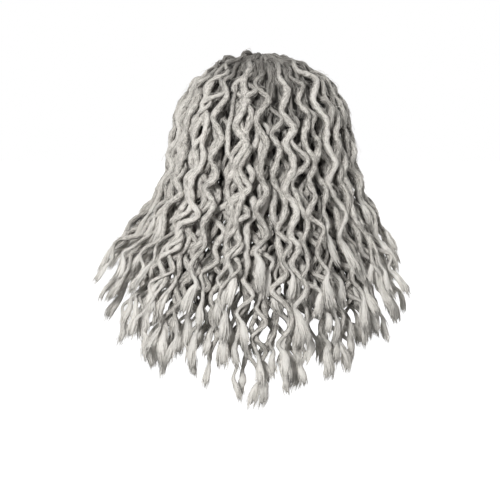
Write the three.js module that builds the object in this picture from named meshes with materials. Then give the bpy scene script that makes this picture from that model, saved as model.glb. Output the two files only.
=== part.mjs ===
// A dreadlock wig in its worn form. A thin cap is open below and in front of the brow, and five
// rows of wavy felted locs hang from it, each with a loose tassel at its end. Millimetres, with
// the origin inside the cap at the crown, the face looking along -Y and the wearer's left at +X.
import * as THREE from 'three';
import { LoftGeometry } from 'three/addons/geometries/LoftGeometry.js';
import { mergeVertices } from 'three/addons/utils/BufferGeometryUtils.js';

const { clamp, degToRad, lerp, smoothstep } = THREE.MathUtils;

// The head that fills the cap
const HEAD_WIDTH = 152;
const HEAD_LENGTH = 196;
const HEAD_RISE = 112; // from the head's widest level up to the crown

// The cap, whose edge runs from the nape up to the brow
const CAP_WALL = 2;
const NAPE_EDGE_ANGLE = degToRad(124); // down from the crown
const BROW_EDGE_ANGLE = degToRad(56);
const EDGE_START_ANGLE = degToRad(40); // round from the back
const EDGE_END_ANGLE = degToRad(150);

// One loc
const LOC_DIAMETER = 10;
const ROOT_LENGTH = 4; // from the rounded root to the full rope
const WAVE_LENGTH = 58;
const WAVE_AMPLITUDE = 6.5;
const WAVE_START = 60; // length over which the wave grows from nothing
const TASSEL_LENGTH = 58;
const TASSEL_WIDTH = 17;
const TASSEL_DEPTH = 10.5;

// How the hair hangs
const LONGEST_DROP = 486; // from the crown to the lowest tip
const LEFT_SPREAD = 142; // how far the sides flare on their way down
const RIGHT_SPREAD = 112;
const BACK_SPREAD = 22;
const SPREAD_START = 34; // below the head's widest level
const SPREAD_HEIGHT = 275;
const SWELL = 2; // half of the depth of the ripples that run through all the hair
const SWELL_LENGTH = 57;
const ARCH = 4; // how far the top row stands off the head's shoulders before it falls
const BOUNCE = 2.5; // half of how far out the top row's waves stand

// Clearances
const SEAT_GAP = 0.3; // from a root to the cap
const FREE_GAP = 1.2; // from the rope beyond its root to the cap
const LAYER_GAP = 1.5; // from the locs of one row to those that hang over them

// Rows from the nape up. Angles are in degrees: down is where the roots lie below the crown, and
// rootSpan and hangSpan how far round from the back the outermost roots and hanging lengths are.
// reach is the longest loc's share of LONGEST_DROP, and scatter what the shortest one lacks.
const ROWS = [
  { name: 'nape', count: 6, down: 103, rootSpan: 62, hangSpan: 56, reach: 0.98, scatter: 0.12 },
  { name: 'lower', count: 9, down: 82, rootSpan: 92, hangSpan: 97, reach: 1, scatter: 0.16 },
  { name: 'middle', count: 10, down: 62, rootSpan: 118, hangSpan: 112, reach: 0.96, scatter: 0.2 },
  { name: 'upper', count: 10, down: 42, rootSpan: 148, hangSpan: 118, reach: 0.92, scatter: 0.22 },
  { name: 'crown', count: 19, down: 22, rootSpan: 160, hangSpan: 122, reach: 0.86, scatter: 0.24 },
];
const ARCH_SHARES = { nape: 0, lower: 0, middle: 0, upper: 0.5, crown: 1 }; // of ARCH, in each row
const BOUNCE_SHARES = { nape: 0, lower: 0, middle: 0, upper: 0, crown: 1 }; // of BOUNCE

// How far below its row's level each root lies, in degrees, over and over along the row
const ROOT_STEPS = { nape: [0], lower: [0], middle: [0], upper: [0], crown: [0, 12, -12, 12] };

// Cross-sections of a tassel, as shares of its length, width and depth
const TASSEL_SECTIONS = [
  { along: 0.26, girth: 0.82 },
  { along: 0.62, girth: 1 },
  { along: 1, girth: 0.45 },
];
const ROOT_GIRTH = 0.62; // share of the diameter at the root's end
const NECK_GIRTH = 0.68; // share of the diameter where the rope lets go into its tassel
const TAPER_START = 0.5; // share of the rope's length where it starts to thin towards the neck

// How one row climbs over the roots of the row below it
const CLIMB_START_ANGLE = degToRad(18);
const CLIMB_END_ANGLE = degToRad(3);
const CLIMB_SIDE_ANGLE = degToRad(12); // past the outermost loc that is covered
const CLIMB_FADE_ANGLE = degToRad(26);

// How the hanging lengths arch, turn, fall and gather
const ARCH_START_ANGLE = degToRad(25);
const ARCH_END_ANGLE = degToRad(100);
const SETTLE_ANGLE = degToRad(50); // over which a loc turns from its root to where it hangs
const SWELL_START_ANGLE = degToRad(98);
const SWELL_FULL_ANGLE = degToRad(130);
const SWELL_TWIST = 3; // ripples round the head lag by this many radians for each radian
const FRONT_START_ANGLE = degToRad(95);
const FRONT_END_ANGLE = degToRad(140);
const FRONT_SPREAD = 0.35; // share of the flare that is left in front of the shoulders
const SIDE_RISE = 0.2; // how much shorter the locs at the sides are

// Differences from loc to loc, as shares
const TURN_SCATTER = 0.12;
const WAVE_SCATTER = 0.14;
const AMPLITUDE_SCATTER = 0.25;
const TASSEL_CALM = 0.55; // share of the wave that a tassel has lost at its end

// Meshes
const LOC_SIDES = { nape: 4, lower: 4, middle: 4, upper: 4, crown: 5 };
const RINGS_PER_WAVE = 4;
const SEATED_RINGS = 2; // the root's end and the first full ring
const CREST_SHARE = 1.2; // makes up for the wave's crest, which lies between two rings
const CAP_COLUMNS = 30;
const CAP_ROWS = 9;
const PROBE_ANGLE = 0.002; // radians to each side when a slope is measured

// Each kind of difference is the fraction left by a loc's number times its own square root
const SCATTER = { turn: 2, drop: 3, wave: 5, amplitude: 7, start: 11 };

const WIDTH_RADIUS = HEAD_WIDTH / 2 + CAP_WALL;
const LENGTH_RADIUS = HEAD_LENGTH / 2 + CAP_WALL;
const RISE_RADIUS = HEAD_RISE + CAP_WALL;
const LAYER_PITCH = Math.max(LOC_DIAMETER, TASSEL_DEPTH) + LAYER_GAP;

const capCloth = new THREE.MeshStandardMaterial({ color: 0x85827d, roughness: 0.95, metalness: 0 });
const locFibre = new THREE.MeshStandardMaterial({ color: 0xc9c6be, roughness: 0.85, metalness: 0 });

// A share from 0 to 1 that looks random and is the same each time
function chance(number, kind) {
  const turns = number * Math.sqrt(kind);
  return turns - Math.floor(turns);
}

// The surface that the hair lies on: the cap down to the angle where the hair leaves it, and
// from there straight down, flaring at the sides and the back
function hairSurface(turn, down, leave) {
  const onHead = Math.min(down, leave);
  const z = RISE_RADIUS * (Math.cos(onHead) - (down - onHead)) - HEAD_RISE;
  const flare = smoothstep(-z - HEAD_RISE, SPREAD_START, SPREAD_START + SPREAD_HEIGHT);
  const forward = smoothstep(Math.abs(turn), FRONT_START_ANGLE, FRONT_END_ANGLE);
  const sideSpread = (turn > 0 ? LEFT_SPREAD : RIGHT_SPREAD) * lerp(1, FRONT_SPREAD, forward);
  return new THREE.Vector3(
    (WIDTH_RADIUS * Math.sin(onHead) + sideSpread * flare) * Math.sin(turn),
    (LENGTH_RADIUS * Math.sin(onHead) + BACK_SPREAD * flare) * Math.cos(turn),
    z,
  );
}

function outwardNormal(turn, down, leave) {
  const step = PROBE_ANGLE;
  const round = hairSurface(turn + step, down, leave).sub(hairSurface(turn - step, down, leave));
  const along = hairSurface(turn, down + step, leave).sub(hairSurface(turn, down - step, leave));
  return round.cross(along).normalize();
}

// How many rows a loc of this row has under it, with part of one where it climbs
function layersUnder(rowNumber, turn, down) {
  return ROWS.slice(0, rowNumber).reduce((layers, row) => {
    const edge = degToRad(Math.max(row.rootSpan, row.hangSpan)) + CLIMB_SIDE_ANGLE;
    const root = degToRad(row.down);
    const beside = 1 - smoothstep(Math.abs(turn), edge, edge + CLIMB_FADE_ANGLE);
    const climb = smoothstep(down, root - CLIMB_START_ANGLE, root - CLIMB_END_ANGLE);
    const straight = clamp((down - root + CLIMB_START_ANGLE) / (CLIMB_START_ANGLE - CLIMB_END_ANGLE), 0, 1);
    return layers + (beside * (climb + straight)) / 2;
  }, 0);
}

// A point on the middle line of a loc of this row, before its own wave
function pointInRow(rowNumber, turn, down) {
  const leave = Math.max(Math.PI / 2, degToRad(ROWS[rowNumber].down));
  const point = hairSurface(turn, down, leave);
  const ripple = 1 + Math.sin((2 * Math.PI * point.z) / SWELL_LENGTH + turn * SWELL_TWIST);
  const swell = SWELL * ripple * smoothstep(down, SWELL_START_ANGLE, SWELL_FULL_ANGLE);
  const overShoulder = Math.sin(Math.PI * smoothstep(down, ARCH_START_ANGLE, ARCH_END_ANGLE)) ** 2;
  const arch = ARCH * ARCH_SHARES[ROWS[rowNumber].name] * overShoulder;
  const stacked = LOC_DIAMETER / 2 + FREE_GAP + LAYER_PITCH * layersUnder(rowNumber, turn, down);
  return point.addScaledVector(outwardNormal(turn, down, leave), stacked + arch + swell);
}

// The middle line of one loc without its wave, from root to tip
class LocRoute extends THREE.Curve {
  constructor(rowNumber, index) {
    super();
    const row = ROWS[rowNumber];
    const before = ROWS.slice(0, rowNumber).reduce((sum, lower) => sum + lower.count, 0);
    const number = before + index + 1;
    const aside = TURN_SCATTER * (2 * chance(number, SCATTER.turn) - 1);
    const across = (2 * (index + aside)) / (row.count - 1) - 1;
    this.rowNumber = rowNumber;
    this.number = number;
    this.rootTurn = degToRad(row.rootSpan) * across;
    this.hangTurn = degToRad(row.hangSpan) * across;
    const rootSteps = ROOT_STEPS[row.name];
    this.rootDown = degToRad(row.down + rootSteps[index % rootSteps.length]);
    const leave = Math.max(Math.PI / 2, this.rootDown);
    const uneven = 1 - row.scatter * chance(number, SCATTER.drop);
    const atSide = 1 - SIDE_RISE * Math.sin(this.hangTurn) ** 2;
    const tipZ = -LONGEST_DROP * row.reach * uneven * atSide;
    this.tipDown = leave + Math.cos(leave) - (tipZ + HEAD_RISE) / RISE_RADIUS;
  }

  downAt(t) {
    return lerp(this.rootDown, this.tipDown, t);
  }

  turnAt(t) {
    const start = degToRad(ROWS[this.rowNumber].down);
    const settled = smoothstep(this.downAt(t), start, start + SETTLE_ANGLE);
    return lerp(this.rootTurn, this.hangTurn, settled);
  }

  getPoint(t) {
    return pointInRow(this.rowNumber, this.turnAt(t), this.downAt(t));
  }

  // The same point moved by a length round the head and by one outwards
  getPointAside(t, { round, out }) {
    const turn = this.turnAt(t);
    const down = this.downAt(t);
    const before = pointInRow(this.rowNumber, turn - PROBE_ANGLE, down);
    const after = pointInRow(this.rowNumber, turn + PROBE_ANGLE, down);
    const lengthPerRadian = before.distanceTo(after) / (2 * PROBE_ANGLE);
    const point = pointInRow(this.rowNumber, turn + round / lengthPerRadian, down);
    return point.addScaledVector(this.getNormal(t), out);
  }

  getNormal(t) {
    return outwardNormal(this.turnAt(t), this.downAt(t), Math.max(Math.PI / 2, this.rootDown));
  }
}

// The cross-sections of one loc: how far along it each is, its width and its depth
function locStations(length, waveLength) {
  const ropeEnd = length - TASSEL_LENGTH;
  const steps = Math.round(((ropeEnd - ROOT_LENGTH) / waveLength) * RINGS_PER_WAVE);
  const stations = [{ distance: 0, width: LOC_DIAMETER * ROOT_GIRTH, depth: LOC_DIAMETER * ROOT_GIRTH }];
  for (let ring = 0; ring <= steps; ring += 1) {
    const girth = LOC_DIAMETER * lerp(1, NECK_GIRTH, smoothstep(ring / steps, TAPER_START, 1));
    stations.push({ distance: lerp(ROOT_LENGTH, ropeEnd, ring / steps), width: girth, depth: girth });
  }
  for (const { along, girth } of TASSEL_SECTIONS) {
    stations.push({
      distance: ropeEnd + TASSEL_LENGTH * along,
      width: TASSEL_WIDTH * girth,
      depth: TASSEL_DEPTH * girth,
    });
  }
  return stations;
}

// How far a loc lies round the head and out from its route at a distance from its root
function waveAt(distance, length, waveLength, route) {
  const amplitude = WAVE_AMPLITUDE * (1 - AMPLITUDE_SCATTER * chance(route.number, SCATTER.amplitude));
  const bounce = BOUNCE * BOUNCE_SHARES[ROWS[route.rowNumber].name];
  const start = Math.round(RINGS_PER_WAVE * chance(route.number, SCATTER.start)) + 1 / 2;
  const phase = 2 * Math.PI * ((distance - ROOT_LENGTH) / waveLength + start / RINGS_PER_WAVE);
  const grown = smoothstep(distance, 0, WAVE_START);
  const calm = 1 - TASSEL_CALM * smoothstep(distance, length - TASSEL_LENGTH, length);
  const strength = CREST_SHARE * grown * calm;
  return { round: amplitude * strength * Math.sin(phase), out: bounce * strength * (1 + Math.cos(phase)) };
}

// A ring of points square to the way the loc runs, with its first point towards the cap
function locRing(centre, forward, normal, station, sides) {
  const sideways = forward.clone().cross(normal).negate().normalize();
  const inward = sideways.clone().cross(forward).normalize();
  return Array.from({ length: sides }, (_, corner) => {
    const angle = (2 * Math.PI * corner) / sides;
    return centre
      .clone()
      .addScaledVector(inward, (Math.cos(angle) * station.depth) / 2)
      .addScaledVector(sideways, (Math.sin(angle) * station.width) / 2);
  });
}

// How much nearer to the cap a cross-section of the root lies, so that it rests on the cap's face
function seatDepth(cap, centre, normal, station) {
  const [face] = new THREE.Raycaster(centre, normal.clone().negate()).intersectObject(cap);
  return face.distance - station.depth / 2 - SEAT_GAP;
}

function locGeometry(route, cap) {
  const length = route.getLength();
  const likelyWave = WAVE_LENGTH * (1 + WAVE_SCATTER * (2 * chance(route.number, SCATTER.wave) - 1));
  const stations = locStations(length, likelyWave);
  const waveLength = RINGS_PER_WAVE * (stations[2].distance - stations[1].distance);
  const shares = stations.map(({ distance }) => route.getUtoTmapping(distance / length));
  const normals = shares.map((share) => route.getNormal(share));
  const centres = stations.map(({ distance }, place) =>
    route.getPointAside(shares[place], waveAt(distance, length, waveLength, route)),
  );
  for (let place = 0; place < SEATED_RINGS; place += 1) {
    const depth = seatDepth(cap, centres[place], normals[place], stations[place]);
    centres[place].addScaledVector(normals[place], -depth);
  }
  const sections = stations.map((station, place) => {
    const before = centres[Math.max(place - 1, 0)];
    const after = centres[Math.min(place + 1, centres.length - 1)];
    const forward = after.clone().sub(before).normalize();
    return locRing(centres[place], forward, normals[place], station, LOC_SIDES[ROWS[route.rowNumber].name]);
  });
  return new LoftGeometry(sections, { capStart: true, capEnd: true });
}

function capEdge(turn) {
  const risen = smoothstep(Math.abs(turn), EDGE_START_ANGLE, EDGE_END_ANGLE);
  return lerp(NAPE_EDGE_ANGLE, BROW_EDGE_ANGLE, risen);
}

// A ring round one face of the cap, at a share of the way from the crown to the edge
function capRing(share, wall) {
  return Array.from({ length: CAP_COLUMNS }, (_, column) => {
    const turn = Math.PI * (1 - (2 * column) / CAP_COLUMNS);
    const down = capEdge(turn) * share;
    return new THREE.Vector3(
      (HEAD_WIDTH / 2 + wall) * Math.sin(down) * Math.sin(turn),
      (HEAD_LENGTH / 2 + wall) * Math.sin(down) * Math.cos(turn),
      (HEAD_RISE + wall) * Math.cos(down) - HEAD_RISE,
    );
  });
}

// The inner face from the crown to the edge, and the outer face back up. Its first and last
// rings are the points where each face closes at the crown
function capGeometry() {
  const shares = Array.from({ length: CAP_ROWS + 1 }, (_, row) => row / CAP_ROWS);
  const inner = shares.map((share) => capRing(share, 0));
  const outer = shares.map((share) => capRing(share, CAP_WALL)).reverse();
  return new LoftGeometry([...inner, ...outer]);
}

// One closed body whose faces share their corners, without the faces that a point leaves flat
function closedMesh(name, geometry, material) {
  const plain = new THREE.BufferGeometry().copy(geometry);
  plain.deleteAttribute('normal');
  plain.deleteAttribute('uv');
  const merged = mergeVertices(plain);
  const corners = Array.from(merged.index.array);
  const kept = corners.filter((_, place) => {
    const first = place - (place % 3);
    return new Set(corners.slice(first, first + 3)).size === 3;
  });
  merged.setIndex(kept);
  merged.computeVertexNormals();
  const mesh = new THREE.Mesh(merged, material);
  mesh.name = name;
  return mesh;
}

const wig = new THREE.Group();
wig.name = 'dreadlock_wig';
const wigCap = closedMesh('wig_cap', capGeometry(), capCloth);
wig.add(wigCap);

ROWS.forEach((row, rowNumber) => {
  for (let index = 0; index < row.count; index += 1) {
    const name = `${row.name}_loc_${String(index + 1).padStart(2, '0')}`;
    wig.add(closedMesh(name, locGeometry(new LocRoute(rowNumber, index), wigCap), locFibre));
  }
});

export default wig;
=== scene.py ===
"""Dresses a dreadlock wig: felted wavy locs with brushed tassels on a knitted cap, from behind."""
import logging
import math
from dataclasses import dataclass
from enum import Enum

import bmesh
import bpy
import numpy as np
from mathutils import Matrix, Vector


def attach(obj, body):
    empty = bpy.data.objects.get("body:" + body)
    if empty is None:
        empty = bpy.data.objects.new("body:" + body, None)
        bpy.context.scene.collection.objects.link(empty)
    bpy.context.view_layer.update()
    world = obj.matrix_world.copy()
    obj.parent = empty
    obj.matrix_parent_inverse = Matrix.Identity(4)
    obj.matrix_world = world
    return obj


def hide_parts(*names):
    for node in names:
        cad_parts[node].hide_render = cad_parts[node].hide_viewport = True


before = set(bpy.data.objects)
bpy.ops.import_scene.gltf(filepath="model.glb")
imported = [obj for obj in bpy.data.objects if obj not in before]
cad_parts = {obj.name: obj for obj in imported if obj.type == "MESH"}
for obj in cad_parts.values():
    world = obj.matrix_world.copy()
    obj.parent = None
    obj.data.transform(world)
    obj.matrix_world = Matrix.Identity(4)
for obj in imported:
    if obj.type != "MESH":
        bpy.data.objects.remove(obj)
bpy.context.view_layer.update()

LOG = logging.getLogger("dreadlock_wig")
TURN = 2 * math.pi
SEAM = 2e-6  # metres, within which a wrapped mesh's points are the same
ARRAY_STEP = 4  # between the fibres of an array, whose radius is 1
ASKEW = (0.31, 0.57, 0.76)  # a direction that no fibre follows for long


def mm(millimetres: float) -> float:
    """Returns a length in metres."""
    return millimetres / 1000


def smoothstep(value: np.ndarray, low: float, high: float) -> np.ndarray:
    """Rises smoothly from 0 to 1.

    Args:
        value: Where it is read.
        low: Where it leaves 0.
        high: Where it reaches 1.

    Returns:
        The share at each value.
    """
    share = np.clip((value - low) / (high - low), 0, 1)
    return share * share * (3 - 2 * share)


def hump(distance: np.ndarray, middle: float, width: float) -> np.ndarray:
    """Returns a smooth hump of height 1 round a middle."""
    return np.exp(-(((distance - middle) / width) ** 2))


def unit(vectors: np.ndarray) -> np.ndarray:
    """Returns vectors of length 1 that point the same way."""
    return vectors / np.linalg.norm(vectors, axis=-1, keepdims=True)


def chance(number: int, kind: int) -> float:
    """Returns the share from 0 to 1 that belongs to a loc's number and a kind of difference."""
    return (number * math.sqrt(kind)) % 1


class Difference(Enum):
    """The kinds of difference from loc to loc, each with the number whose root spreads it."""

    TURN = 2
    DROP = 3
    WAVE = 5
    AMPLITUDE = 7
    START = 11


@dataclass(frozen=True)
class Row:
    """One row of locs, from its roots to where it hangs. Angles are in degrees. Shade is painted shade:
    how much darker its locs are made because they lie under the rows above.
    """

    name: str
    count: int
    down: float
    root_span: float
    hang_span: float
    reach: float
    scatter: float
    arch: float = 0
    bounce: float = 0
    root_steps: tuple[float, ...] = (0,)
    # painted shade: taken off the tone of every loc in the row, for rows that lie under others
    shade: float = 0


# The lower rows get painted shade, more the deeper they lie under the rows above.
ROWS = (
    Row("nape", 6, 103, 62, 56, 0.98, 0.12, shade=0.2),
    Row("lower", 9, 82, 92, 97, 1, 0.16, shade=0.12),
    Row("middle", 10, 62, 118, 112, 0.96, 0.2, shade=0.05),
    Row("upper", 10, 42, 148, 118, 0.92, 0.22, arch=0.5),
    Row("crown", 19, 22, 160, 122, 0.86, 0.24, arch=1, bounce=1, root_steps=(0, 12, -12, 12)),
)


@dataclass(frozen=True)
class HairForm:
    """The surfaces that the rows lie on, in metres and radians, the same as in the solids."""

    head_width: float = mm(152)
    head_length: float = mm(196)
    head_rise: float = mm(112)
    cap_wall: float = mm(2)
    nape_edge: float = math.radians(124)
    brow_edge: float = math.radians(56)
    edge_start: float = math.radians(40)
    edge_end: float = math.radians(150)
    loc_diameter: float = mm(10)
    left_spread: float = mm(142)
    right_spread: float = mm(112)
    back_spread: float = mm(22)
    spread_start: float = mm(34)
    spread_height: float = mm(275)
    swell: float = mm(2)
    swell_length: float = mm(57)
    swell_twist: float = 3
    swell_start: float = math.radians(98)
    swell_full: float = math.radians(130)
    arch: float = mm(4)
    arch_start: float = math.radians(25)
    arch_end: float = math.radians(100)
    free_gap: float = mm(1.2)
    layer_pitch: float = mm(12)
    climb_start: float = math.radians(18)
    climb_end: float = math.radians(3)
    climb_side: float = math.radians(12)
    climb_fade: float = math.radians(26)
    front_start: float = math.radians(95)
    front_end: float = math.radians(140)
    front_spread: float = 0.35
    probe: float = 0.002

    def skin(self, turn: np.ndarray, down: np.ndarray, leave: float) -> np.ndarray:
        """Finds points on the cap and on the curtain that falls from it.

        Args:
            turn: Angles round the head from the back.
            down: Angles down from the crown.
            leave: The angle down where the hair leaves the head.

        Returns:
            One point a row.
        """
        width = self.head_width / 2 + self.cap_wall
        length = self.head_length / 2 + self.cap_wall
        rise = self.head_rise + self.cap_wall
        on_head = np.minimum(down, leave)
        height = rise * (np.cos(on_head) - (down - on_head)) - self.head_rise
        full = self.spread_start + self.spread_height
        flare = smoothstep(-height - self.head_rise, self.spread_start, full)
        forward = smoothstep(np.abs(turn), self.front_start, self.front_end)
        side = np.where(turn > 0, self.left_spread, self.right_spread)
        side = side * (1 + (self.front_spread - 1) * forward)
        across = (width * np.sin(on_head) + side * flare) * np.sin(turn)
        back = (length * np.sin(on_head) + self.back_spread * flare) * np.cos(turn)
        return np.stack([across, back, height], axis=-1)

    def normal(self, turn: np.ndarray, down: np.ndarray, leave: float) -> np.ndarray:
        """Returns the outward directions of the skin."""
        step = self.probe
        about = self.skin(turn + step, down, leave) - self.skin(turn - step, down, leave)
        along = self.skin(turn, down + step, leave) - self.skin(turn, down - step, leave)
        return unit(np.cross(about, along))

    def layers_under(self, row_number: int, turn: np.ndarray, down: np.ndarray) -> np.ndarray:
        """Returns how many rows lie under a row at each place, with parts where it climbs."""
        layers = np.zeros_like(down)
        for row in ROWS[:row_number]:
            edge = math.radians(max(row.root_span, row.hang_span)) + self.climb_side
            root = math.radians(row.down)
            beside = 1 - smoothstep(np.abs(turn), edge, edge + self.climb_fade)
            climb = smoothstep(down, root - self.climb_start, root - self.climb_end)
            run = self.climb_start - self.climb_end
            straight = np.clip((down - root + self.climb_start) / run, 0, 1)
            layers = layers + beside * (climb + straight) / 2
        return layers

    def in_row(
        self, row_number: int, turn: np.ndarray, down: np.ndarray, leave: float
    ) -> np.ndarray:
        """Finds points on the middle lines of a row's locs, before their waves.

        Args:
            row_number: The row's place in ROWS.
            turn: Angles round the head from the back.
            down: Angles down from the crown.
            leave: The angle down where the hair leaves the head.

        Returns:
            One point a row.
        """
        point = self.skin(turn, down, leave)
        ripple = 1 + np.sin(TURN * point[:, 2] / self.swell_length + turn * self.swell_twist)
        swell = self.swell * ripple * smoothstep(down, self.swell_start, self.swell_full)
        bend = np.sin(math.pi * smoothstep(down, self.arch_start, self.arch_end)) ** 2
        arch = self.arch * ROWS[row_number].arch * bend
        layers = self.layer_pitch * self.layers_under(row_number, turn, down)
        lift = self.loc_diameter / 2 + self.free_gap + layers + arch + swell
        return point + self.normal(turn, down, leave) * lift[:, None]

    def edge(self, turn: np.ndarray) -> np.ndarray:
        """Returns the angle down to the cap's edge."""
        risen = smoothstep(np.abs(turn), self.edge_start, self.edge_end)
        return self.nape_edge + (self.brow_edge - self.nape_edge) * risen


FORM = HairForm()


@dataclass(frozen=True)
class Lie:
    """How one loc lies: its row, its place in it, its length and its waves."""

    row_number: int
    across: float
    root_down: float
    tip_height: float
    amplitude: float
    wave_length: float
    wave_start: float
    lift: float = 0
    seed: int = 0
    wild: float = 0
    drift: float = 0
    splay: float = 0
    knob: float = 0
    tassel: float = mm(58)


@dataclass(frozen=True)
class LocPlan:
    """Sizes that the locs share, and the way the solids' own locs lie."""

    longest_drop: float = mm(486)
    side_rise: float = 0.2
    turn_scatter: float = 0.12
    wave_length: float = mm(58)
    wave_scatter: float = 0.14
    wave_amplitude: float = mm(6.5)
    amplitude_scatter: float = 0.25
    rings_per_wave: int = 4

    def tip(self, row: Row, across: float, uneven: float) -> float:
        """Finds the height of a loc's tip.

        Args:
            row: The loc's row.
            across: The loc's place in the row, from -1 to 1.
            uneven: The share of the row's scatter that it is short by.

        Returns:
            A height, which is below 0.
        """
        side = math.sin(math.radians(row.hang_span) * across) ** 2
        reach = row.reach * (1 - row.scatter * uneven) * (1 - self.side_rise * side)
        return -self.longest_drop * reach

    def main(self, row_number: int, index: int) -> Lie:
        """Returns the lie of one of the solids' own locs."""
        row = ROWS[row_number]
        number = sum(lower.count for lower in ROWS[:row_number]) + index + 1
        aside = self.turn_scatter * (2 * chance(number, Difference.TURN.value) - 1)
        across = 2 * (index + aside) / (row.count - 1) - 1
        wave = 1 + self.wave_scatter * (2 * chance(number, Difference.WAVE.value) - 1)
        less = self.amplitude_scatter * chance(number, Difference.AMPLITUDE.value)
        start = round(self.rings_per_wave * chance(number, Difference.START.value)) + 1 / 2
        return Lie(
            row_number=row_number,
            across=across,
            root_down=math.radians(row.down + row.root_steps[index % len(row.root_steps)]),
            tip_height=self.tip(row, across, chance(number, Difference.DROP.value)),
            amplitude=self.wave_amplitude * (1 - less),
            wave_length=self.wave_length * wave,
            wave_start=start / self.rings_per_wave,
            seed=number,
        )


PLAN = LocPlan()


@dataclass
class Line:
    """The middle line of a loc with its frame at each place, one row a place."""

    distance: np.ndarray
    point: np.ndarray
    forward: np.ndarray
    out: np.ndarray
    side: np.ndarray

    @property
    def length(self) -> float:
        """The length of the line."""
        return float(self.distance[-1])

    def at(self, distance: np.ndarray) -> "Line":
        """Returns the line at other distances, straight on past its end."""
        inside = np.clip(distance, 0, self.length)
        parts = [
            np.stack([np.interp(inside, self.distance, values[:, axis]) for axis in range(3)], -1)
            for values in (self.point, self.forward, self.out, self.side)
        ]
        point, forward, out, side = parts
        point = point + forward * (distance - inside)[:, None]
        return Line(distance, point, unit(forward), unit(out), unit(side))


def profile(share: np.ndarray, sections: tuple[tuple[float, float], ...]) -> np.ndarray:
    """Reads a girth between sections.

    Args:
        share: Shares of the length.
        sections: Pairs of a share of the length and the girth there.

    Returns:
        The girth at each share.
    """
    along, girth = zip(*sections)
    return np.interp(share, along, girth)


@dataclass(frozen=True)
class Variety:
    """How locs and the locks of their tassels differ, as ranges or as a mean and a spread."""

    seed_start: int = 1000
    tone: tuple[float, float] = (0.5, 0.1)
    tone_limits: tuple[float, float] = (0.2, 0.8)
    diameter: tuple[float, float] = (0.88, 1.14)
    fuller: tuple[float, float] = (0.84, 1.16)
    lock_place: tuple[float, float] = (-0.3, 0.3)
    lock_twist: tuple[float, float] = (0, 0.4)
    lock_reach: tuple[float, float] = (0.35, 0.98)
    lock_end: tuple[float, float] = (0.74, 1.02)
    lock_tone: tuple[float, float] = (0, 0.14)
    map_place: tuple[float, float] = (0, 3)


@dataclass(frozen=True)
class Rope:
    """How a loc's rope swells, thins, wrinkles and is toned, with painted shade on its flanks and on the
    side towards the head.

    Girths are shares of its half width. Lumps, ridges and creases are pairs of a girth and a
    length. Joint and tip are distances from the rope's end.
    """

    knob: float = 0.45
    knob_middle: float = mm(8)
    knob_length: float = mm(6)
    lumps: tuple[tuple[float, float], ...] = ((0.085, mm(23)), (0.06, mm(11.5)), (0.08, mm(67)))
    rounding: float = mm(5)
    first_ring: float = mm(0.9)
    fewest_rings: int = 24
    root_girth: float = 0.58
    root_gain: float = 0.44
    gains: tuple[float, float] = (mm(14), mm(135))
    thinner: float = 0.4
    thins_from: float = 0.64
    joint: tuple[float, float] = (mm(-8), mm(4))
    ridges: tuple[float, float] = (0.07, mm(44))
    creases: tuple[float, float] = (0.05, mm(19))
    rough: float = 0.045
    lighter: float = 0.08
    # painted shade: how much darker the rope's flanks and its side towards the head are made; under
    # gives the sines round the rope between which it fades, under_fade how it fades out into the tassel
    under_shade: float = 0.6
    under: tuple[float, float] = (-0.3, 0.85)
    under_fade: float = mm(10)
    root: float = mm(100)
    tip: tuple[float, float] = (mm(-30), mm(16))


@dataclass(frozen=True)
class Tassel:
    """The loose end of a loc, with a closed core that its locks lie over.

    Sections are shares of its length and of its half width, and so are the core's sizes.
    """

    width: float = mm(16)
    depth: float = mm(10.5)
    sections: tuple[tuple[float, float], ...] = (
        (0, 0.34), (0.1, 0.44), (0.26, 0.76), (0.42, 0.94), (0.62, 1), (0.82, 0.86), (1, 0.55),
    )
    flare: float = 0.3
    flare_from: float = 0.45
    core_end: float = 0.84
    core_rounding: float = 0.4
    core_slimmer: float = 0.14
    core_slim_by: float = 0.3
    reach: float = 0.8
    reach_gain: float = 0.25


@dataclass(frozen=True)
class Lock:
    """A thin lock of a tassel, in shares of the tassel's length and half width."""

    rings: int = 6
    start: tuple[float, float] = (-0.04, 0.4)
    wander: float = 0.05
    thickness: tuple[float, float] = (0.1, 0.2)
    girth: tuple[tuple[float, float], ...] = ((0, 0.3), (0.2, 0.9), (0.5, 1), (0.8, 0.6), (1, 0.04))
    pales: tuple[float, float] = (-0.1, 0.2)
    paleness: tuple[float, float] = (0.55, 1)


@dataclass(frozen=True)
class Hair:
    """A fine fibre over a tassel's locks. Stray, spread and thickness hold a loose one's first."""

    rings: int = 4
    start: tuple[float, float] = (-0.1, 0.7)
    length: tuple[float, float] = (0.35, 0.7)
    beyond: float = 0.08
    bound: float = 0.66
    stray: tuple[float, float] = (0.38, 0.2)
    spread: tuple[float, float] = (0.55, 0.14)
    jitter: float = 0.03
    thickness: tuple[float, float] = (mm(0.19), mm(0.34))
    uneven: tuple[float, float] = (0.7, 1.3)
    girth: tuple[tuple[float, float], ...] = ((0, 0.4), (0.2, 1), (0.6, 0.8), (1, 0.1))
    tone: tuple[float, float] = (0, 0.3)
    tone_limits: tuple[float, float] = (-0.3, 1.2)
    lighter: float = 0.12
    paleness: tuple[float, float] = (0.2, 1)


@dataclass(frozen=True)
class Fuzz:
    """A hair that lifts off the rope and comes back to it."""

    first: float = mm(4)
    length: tuple[float, float] = (mm(7), mm(24))
    twist: float = 0.7
    stand: float = mm(2.4)
    stand_most: float = mm(7)
    stand_least: float = mm(0.1)
    arc: float = 2.4
    thickness: tuple[float, float] = (mm(0.14), mm(0.3))
    girth: tuple[float, ...] = (1, 1, 0.8, 0.3)
    tone: tuple[float, float] = (0.2, 0.2)
    tip: float = 0.3


VARIETY, ROPE, TASSEL, LOCK, HAIR, FUZZ = Variety(), Rope(), Tassel(), Lock(), Hair(), Fuzz()


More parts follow.
